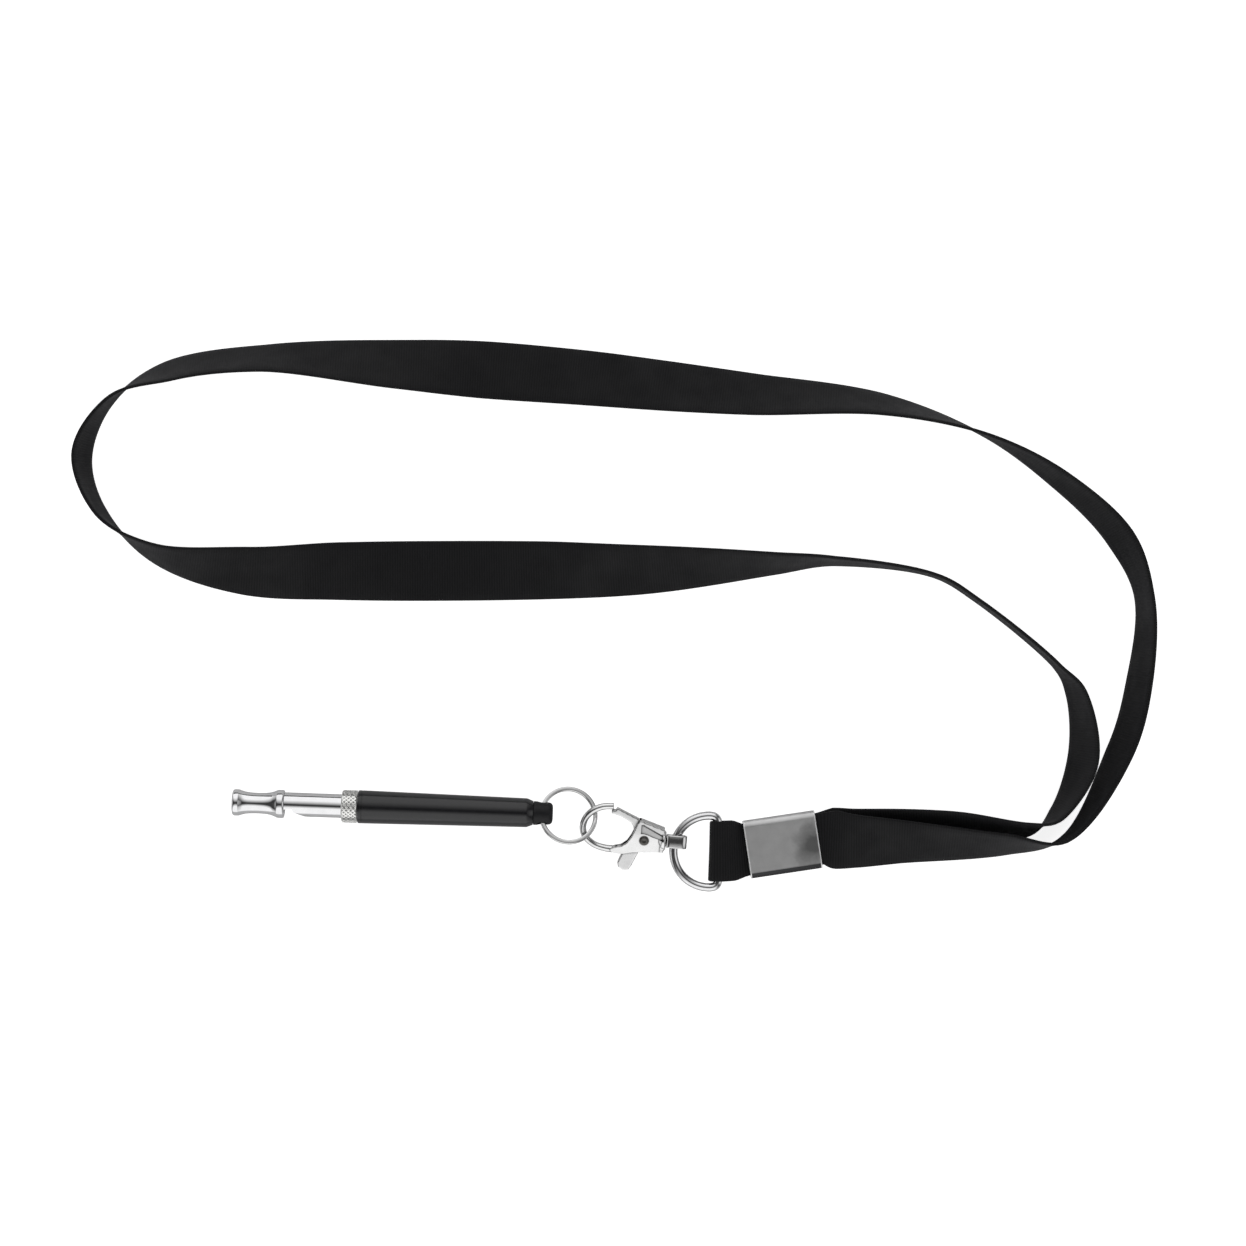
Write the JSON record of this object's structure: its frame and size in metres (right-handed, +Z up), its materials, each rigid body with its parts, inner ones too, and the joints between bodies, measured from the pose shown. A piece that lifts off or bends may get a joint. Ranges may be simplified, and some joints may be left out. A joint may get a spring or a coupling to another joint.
{
  "type": "dog training whistle on a lanyard",
  "caption": "Slim adjustable high-pitch dog whistle on a split ring and trigger snap, with a swivel, D-ring and crimped flat-strap neck loop, laid flat.",
  "frame": {"origin": "On the ground plane under the middle of the metal parts' box, from the mouthpiece to the crimp and without the strap.", "axes": "+X from the mouthpiece along the chain to the crimp; +Y across the ground towards the strap's far strand; +Z up."},
  "size_m": [0.2663, 0.1378, 0.0155],
  "materials": {
    "chrome": "polished chrome plate",
    "nickel": "satin nickel plate",
    "steel_polished": "polished spring steel",
    "steel_dark": "plain drawn steel",
    "anodised_black": "satin black anodised",
    "plastic_white": "moulded",
    "brass": "machined",
    "rubber_black": "moulded",
    "polyester_black": "woven, fine cross ribs"
  },
  "bodies": {
    "lanyard": {"strap": "polyester_black", "crimp": "nickel"},
    "d_ring": {"d_ring": "chrome"},
    "eye": {"swivel_eye": "chrome", "swivel_rivet": "steel_dark"},
    "clasp": {"clasp_body": "chrome", "lever_rivet": "steel_dark", "lever_spring": "steel_dark"},
    "lever": {"gate_lever": "chrome"},
    "ring": {"split_ring": "steel_polished"},
    "whistle": {"barrel": "anodised_black", "tail_plug": "anodised_black", "plunger_rod": "brass", "plunger_head": "brass", "plunger_seal": "rubber_black"},
    "stem": {"stem_tube": "chrome", "mouthpiece": "chrome", "windway_plug": "plastic_white"},
    "nut": {"lock_nut": "nickel"}
  },
  "joints": [
    {"name": "d_ring_swing", "type": "hinge", "parent": "lanyard", "child": "d_ring", "pos_m": [0.0474, -0.00305, 0.00225], "axis": [0, 1, 0], "range_deg": [0, 110]},
    {"name": "eye_swing", "type": "hinge", "parent": "d_ring", "child": "eye", "pos_m": [0.03666, -0.00054, 0.00225], "axis": [-0.2801, -0.96, 0], "range_deg": [-60, 60]},
    {"name": "snap_swivel", "type": "hinge", "parent": "eye", "child": "clasp", "pos_m": [0.029, 0.0001, 0.0026], "axis": [0.9965, -0.0837, 0], "continuous": true},
    {"name": "gate_pivot", "type": "hinge", "parent": "clasp", "child": "lever", "pos_m": [0.029, 0.0001, 0.0026], "axis": [-0.0145, -0.173, 0.9848], "range_deg": [0, 24], "stiffness_Nm_per_rad": 0.02, "springref_deg": -17.19, "deforming": ["lever_spring"]},
    {"name": "ring_swing", "type": "hinge", "parent": "clasp", "child": "ring", "pos_m": [0.01575, 0.00405, 0.00325], "axis": [0.3022, 0.9188, -0.2539], "range_deg": [-40, 40]},
    {"name": "whistle_swing", "type": "hinge", "parent": "ring", "child": "whistle", "pos_m": [0.0037, 0.0066, 0.0042], "axis": [-0.0348, -0.9721, 0.2318], "range_deg": [-75, 75]},
    {"name": "stem_screw", "type": "slide", "parent": "whistle", "child": "stem", "axis": [-0.9994, 0.0358, 0], "range_m": [0, 0.005]},
    {"name": "nut_screw", "type": "slide", "parent": "stem", "child": "nut", "axis": [-0.9994, 0.0358, 0], "range_m": [0, 0.006]}
  ]
}
